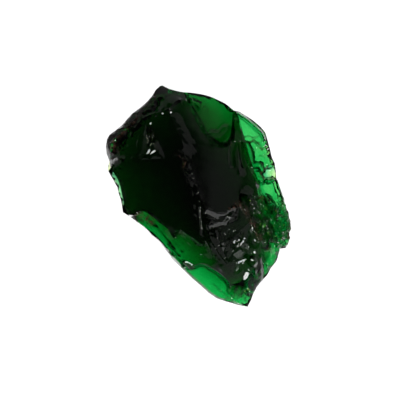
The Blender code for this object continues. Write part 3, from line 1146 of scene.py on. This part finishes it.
def make_weathering() -> tuple[Weathering, ...]:
    """The small relief of the whole stone.

    Returns:
        The relief, in the order that it is made.
    """
    flake_lines = (
        ((3.45, 2.25), (3.75, 2.15), (3.95, 1.95), (4.3, 2.05)),
        ((3.6, 1.8), (3.9, 1.85), (4.1, 1.6), (4.4, 1.7)),
        ((3.75, 1.35), (4.0, 1.45), (4.15, 1.2), (4.5, 1.3)),
        ((3.9, 1.85), (4.0, 1.45)),
        ((4.2, 1.62), (4.15, 1.2)),
        ((3.9, 0.95), (4.2, 0.85), (4.45, 0.95)),
    )
    return (
        Weathering("field_lumps", Grain.SWELL, 0.55, 0.14, ROUGH_FIELD),
        Weathering("field_hackle", Grain.HACKLE, 0.3, 0.12, ROUGH_FIELD),
        Weathering("field_grain", Grain.HACKLE, 0.14, 0.045, ROUGH_FIELD),
        Weathering("iron_ridge", Grain.HACKLE, 0.16, 0.05, (IRON_RIDGE,)),
        Weathering("lower_hackle", Grain.HACKLE, 0.22, 0.05, LOWER_HACKLE),
        Weathering("pit_hackle", Grain.HACKLE, 0.25, 0.08, PIT),
        Weathering("upper_hackle", Grain.HACKLE, 0.2, 0.012, UPPER_HACKLE),
        Weathering("olive_lumps", Grain.HACKLE, 0.3, 0.04, OLIVE),
        Weathering("ridge_nicks", Grain.HACKLE, 0.16, 0.055, RIDGE_NICKS),
        plain("dark_lumps", 0.35, *DARK_LUMPS),
        plain(
            "dark_rim", 0.25,
            line(0.03, 0.15, (3.60, 3.50), (3.86, 3.16), (4.18, 2.58), (4.42, 2.13), (4.46, 1.76)),
        ),
        plain("window_sill", 0.25, line(0.05, 0.38, (1.85, 2.85), (2.2, 2.7), (2.6, 2.9))),
        Weathering("flank_swell", Grain.SWELL, 0.5, 0.02, (
            line(0.5, 0.3, (-1.9, -2.0), (-1.2, -3.2)), line(0.3, 0.2, (-1.0, -4.6), (-0.5, -5.2)),
        )),
        plain(
            "face_grooves", -0.12,
            line(0.03, 0.2, (2.74, 2.0), (2.42, 1.63), (2.20, 0.98)),
            line(0.02, 0.15, (3.05, 1.9), (2.85, 1.3), (2.75, 0.7)),
        ),
        plain("filled_scallop", 0.12, line(0.05, 0.5, (-3.5, 0.15), (-3.1, -0.1), (-2.95, -0.3))),
        Weathering("cells", Grain.HACKLE, 0.34, 0.03, (
            line(0.15, 0.2, (3.8, -0.8), (3.85, -1.6), (3.8, -2.2)),
        )),
        plain("flake_lines", -0.075, *(line(0.0, 0.07, *points) for points in flake_lines)),
        Weathering("flake_cells", Grain.HACKLE, 0.34, 0.03, (
            line(0.3, 0.25, (3.75, 2.2), (4.1, 1.4), (4.1, 0.6)),
        )),
        Weathering("flakes", Grain.SWELL, 0.3, 0.1, (
            line(0.3, 0.25, (4.1, 1.3), (4.0, 0.5)),
        )),
        Weathering("fan_ripples", Grain.RIPPLE, 0.16, 0.005, (
            line(0.15, 0.15, (-1.20, 4.30), (-1.45, 3.45)),
        ), (-2.6, 3.2)),
        Weathering("foot_stripes", Grain.RIPPLE, 0.36, 0.02, (
            line(0.28, 0.15, (-0.55, -4.9), (-0.3, -5.25), (-0.05, -5.6)),
        ), (-4.6, -2.4)),
        plain(
            "rim_line", 0.06,
            line(0.0, 0.06, (-0.99, -4.67), (-0.71, -5.30), (-0.30, -5.92), (0.02, -6.30)),
        ),
        plain(
            "band_grooves", -0.2,
            line(0.01, 0.07, (-2.71, -2.03), (-2.40, -2.55), (-2.24, -2.91), (-2.01, -3.44)),
            line(0.0, 0.06, (-2.5, -1.75), (-2.35, -2.2), (-2.15, -2.6)),
        ),
        Weathering("face_swell", Grain.SWELL, 0.8, 0.012, (
            line(1.3, 0.4, (-1.9, 1.6), (-0.9, -0.2)), line(0.7, 0.3, (0.9, 3.0), (1.3, 0.2)),
        )),
        plain(
            "flank_streaks", 0.05,
            line(0.0, 0.06, (-0.19, -0.46), (-0.41, -1.11), (-0.53, -1.72)),
            line(0.0, 0.06, (-0.30, -2.4), (-0.15, -3.1), (0.05, -3.8)),
        ),
    )


def make_chips() -> tuple[Chip, ...]:
    """The flakes that have broken off along the ridges and the rim.

    Returns:
        The chips.
    """
    ridge = (
        Chip((-0.29, 2.50), 0.26, 0.06), Chip((0.00, 1.96), 0.34, 0.08),
        Chip((-0.24, 1.70), 0.26, 0.06), Chip((-0.22, 1.02), 0.32, 0.08),
        Chip((0.11, 0.97), 0.24, 0.06), Chip((0.03, 0.20), 0.24, 0.06),
        Chip((-0.06, -0.22), 0.2, 0.05), Chip((0.06, 1.45), 0.22, 0.05),
        Chip((0.10, -2.7), 0.3, 0.07), Chip((0.14, -3.5), 0.3, 0.08),
    )
    pale = (
        Chip((4.12, -0.14), 0.66, 0.15), Chip((3.72, -0.92), 0.7, 0.12, 1.2, -70.0),
        Chip((3.92, -1.80), 0.42, 0.14, 1.4, -70.0), Chip((3.66, -2.65), 0.3, 0.3),
    )
    scallops = (
        Chip((-2.18, -1.02), 0.2, 0.07), Chip((-1.97, -1.54), 0.22, 0.08),
        Chip((-0.98, -2.95), 0.26, 0.06), Chip((-1.62, -1.42), 0.2, 0.05),
        Chip((-2.75, 0.05), 0.3, 0.07), Chip((-3.3, 0.38), 0.3, 0.06),
    )
    return ridge + pale + scallops


def make_hollows() -> tuple[Facet, ...]:
    """The broad faces that are cut in.

    Returns:
        The faces.
    """
    return (
        Facet(line(0.35, 0.3, (-1.4, -3.95), (-1.0, -4.5), (-0.75, -4.95)), -130.0, 24.0, 0.25),
        Facet(line(0.12, 0.15, (-1.75, -1.45), (-1.3, -2.0), (-0.98, -2.5)), -137.0, 43.0, 0.25),
    )


def make_facets() -> tuple[Facet, ...]:
    """The small glassy faces; those along the crest stand up a little, clear of its shade.

    Returns:
        The faces.
    """
    glints = (
        (0.05, (1.05, -4.60)), (0.04, (0.66, -5.2)), (0.03, (1.28, -4.73), (1.19, -5.05)),
        (0.08, (-1.83, 2.99), (-1.56, 3.18)), (0.08, (-1.67, 2.90), (-1.34, 3.07)),
        (0.04, (0.66, -3.96), (1.11, -3.97)), (0.03, (1.08, -3.11), (1.34, -2.95)),
        (0.06, (0.47, -5.63)), (0.06, (0.64, -5.62)), (0.05, (0.71, -5.78)),
        (0.04, (1.97, -4.63)), (0.03, (2.57, -2.24)), (0.03, (3.28, -2.35)),
        (0.03, (2.65, -2.87)), (0.03, (2.58, -3.30)), (0.03, (2.90, -3.42), (3.09, -3.43)),
        (0.03, (3.76, -3.23)), (0.03, (3.64, -3.71)), (0.03, (2.39, -3.55)),
        (0.03, (-1.97, -2.97), (-1.86, -3.06), (-1.66, -3.31)), (0.03, (-2.18, -1.02)),
        (0.03, (-1.97, -1.54)), (0.035, (0.55, -2.26)), (0.03, (1.00, -2.27)),
        (0.035, (0.83, -2.90), (0.88, -2.78)), (0.035, (1.12, -2.81)),
        (0.035, (1.38, -2.86), (1.46, -2.86)), (0.03, (0.63, -3.27)), (0.03, (0.40, -1.92)),
        (0.03, (1.45, -3.37)), (0.03, (0.90, -4.09)), (0.025, (0.09, -2.31)),
        (0.03, (-0.98, -2.88)), (0.03, (-0.96, -3.11)),
    )
    clear = (
        line(0.12, 0.06, (0.74, -4.95), (0.88, -4.75)),
        *(line(reach, CRISP, *points) for reach, *points in glints),
    )
    specks = (
        (-1.12, 4.82), (-0.95, 4.75), (-0.58, 4.78), (-0.24, 4.79), (-0.99, 4.51), (-1.76, 4.42),
        (-1.62, 4.42), (-1.13, 4.06), (0.20, 4.67), (-1.19, 4.28), (-0.15, 5.09),
    )
    fan_lines = (
        ((-1.26, 4.38), (-1.52, 3.52)),
        ((-1.11, 4.32), (-1.40, 3.42)),
        ((-1.03, 4.18), (-1.19, 3.51)),
    )
    fan = [
        (top[0] + (low[0] - top[0]) * share, top[1] + (low[1] - top[1]) * share)
        for top, low in fan_lines
        for share in (0.0, 0.15, 0.31, 0.48, 0.64, 0.82, 1.0)
    ]
    ridge = ((-0.01, 1.89), (0.07, 1.25), (0.05, 0.99), (-0.31, 0.41), (-0.03, 0.24), (-0.27, 1.80))
    tip = (
        line(0.03, CRISP, (0.43, 5.77), (0.56, 5.66)),
        line(0.03, CRISP, (0.79, 5.51), (1.01, 5.49)),
        line(0.03, CRISP, (1.15, 5.26)),
    )
    soft = (
        line(0.1, 0.14, (0.14, -0.85), (0.45, -1.23), (0.93, -1.36), (1.45, -1.22)),
        line(0.06, 0.1, (0.35, -1.36), (0.8, -1.5), (1.2, -1.4)),
        line(0.08, 0.2, (0.01, -1.62), (0.26, -1.65), (0.72, -1.66), (1.23, -1.52)),
        line(0.04, 0.03, (0.05, 4.88), (0.32, 4.82)),
        line(0.02, 0.04, (1.52, 5.15), (1.60, 4.80), (1.68, 4.40)),
    )
    window = mirror_aim(*WINDOW)
    panel = mirror_aim(*PANEL)
    return (
        *(Facet(trail, *window) for trail in clear),
        *(Facet(line(0.055, CRISP, spot), *window, -0.11) for spot in specks),
        *(Facet(line(0.045, CRISP, spot), *panel, -0.07) for spot in fan),
        *(Facet(line(0.04, CRISP, spot), *panel) for spot in ridge),
        *(Facet(trail, *panel, -0.05) for trail in tip),
        *(Facet(trail, *panel) for trail in soft),
    )


def make_tourmaline() -> Tourmaline:
    """The stone with all its places of wear.

    Returns:
        The stone, not yet built.
    """
    fine = (
        *ROUGH_FIELD, *UPPER_HACKLE, *OLIVE, *LOWER_HACKLE, *PIT, *RIDGE_NICKS,
        line(0.45, 0.1, (3.7, 2.0), (3.9, 1.4), (4.0, 0.6), (4.0, -0.2), (3.8, -1.2), (3.8, -2.2)),
        line(0.4, 0.1, (-1.3, 4.3), (-1.6, 3.2)),
        IRON_RIDGE,
    )
    soft = (
        line(0.2, 0.3, (-1.55, -3.25), (-1.03, -3.90), (-0.47, -4.59), (0.0, -5.0)),
    )
    # iron stains, and painted shade on the upper-left corner and rim
    stains_and_painted_shade = (
        IRON_RIDGE,
        # partly iron stain, partly painted shade: the next four darken the upper-left corner and
        # rim with brown film, where the stone lies in shade
        line(0.15, 0.3, (-3.36, 4.6), (-3.3, 3.98)),
        line(0.05, 0.2, (-3.6, 3.6), (-3.4, 3.4)),
        line(0.22, 0.25, (-3.2, 4.65), (-2.7, 4.9), (-1.8, 5.2), (-1.0, 5.65), (-0.5, 6.0)),
        line(0.25, 0.2, (-3.5, 5.0), (-2.8, 5.25), (-1.9, 5.6), (-1.1, 6.05), (-0.6, 6.35)),
        line(0.0, 0.1, (-0.29, 2.5), (0.0, 1.96), (-0.24, 1.7)), line(0.0, 0.1, (-0.22, 1.02)),
        line(0.05, 0.1, (3.02, -1.11), (3.14, -1.38)),
        line(0.08, 0.3, (-3.45, 0.2), (-3.2, 0.05), (-2.95, -0.2)),
        line(0.08, 0.1, (2.5, -4.0)),
        line(0.02, 0.2, (4.33, -1.91), (4.28, -2.63), (4.05, -3.29), (3.75, -3.84)),
        line(0.0, 0.12, (3.6, 1.8), (3.9, 1.85), (4.1, 1.6), (4.15, 1.2), (4.5, 1.3)),
        line(0.02, 0.06, (3.48, -0.11), (3.70, 0.12), (4.0, 0.22), (4.22, 0.30), (4.45, 0.27)),
        line(0.05, 0.15, (1.3, -1.1), (1.78, -1.0)),
    )
    return Tourmaline(
        shape=CrystalShape(
            ridge_angle=math.radians(22),
            even_passes=4,
            chips=make_chips(),
            weathering=make_weathering(),
            hollows=make_hollows(),
            facets=make_facets(),
            soft=soft,
            fine=fine,
        ),
        finish=ClearGreen(),
        stains_and_painted_shade=stains_and_painted_shade,
        dull=ROUGH_FIELD,
        # painted highlight: a whiter tint on the lump on the right, the thin flake on the left and
        # the glassy face near the tip
        pale=(
            line(0.25, 0.2, (4.1, -0.1)),
            line(0.25, 0.25, (-3.6, 3.4), (-4.1, 2.2), (-4.2, 1.0)),
            line(0.25, 0.15, (0.85, -5.0), (1.05, -4.7)),
        ),
    )


def make_studio() -> Studio:
    """The studio.

    Returns:
        The studio, not yet built.
    """
    return Studio(
        surround=Surround(),
        floor=GlowingFloor(),
        lights=(
            Softbox("crescent_panel", picture_place(*PANEL), (100.0, 80.0), 0.022),
            Softbox("low_window", picture_place(*WINDOW), (90.0, 80.0), 0.26),
        ),
        view=Viewpoint(),
    )


def main() -> None:
    """Builds the scene."""
    logging.basicConfig(level=logging.INFO, format="%(name)s: %(message)s")
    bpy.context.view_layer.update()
    make_studio().build()
    stone = make_tourmaline().build()
    LOG.info("piece %s", stone.name)
    bpy.context.view_layer.update()


if __name__ == "__main__":
    main()
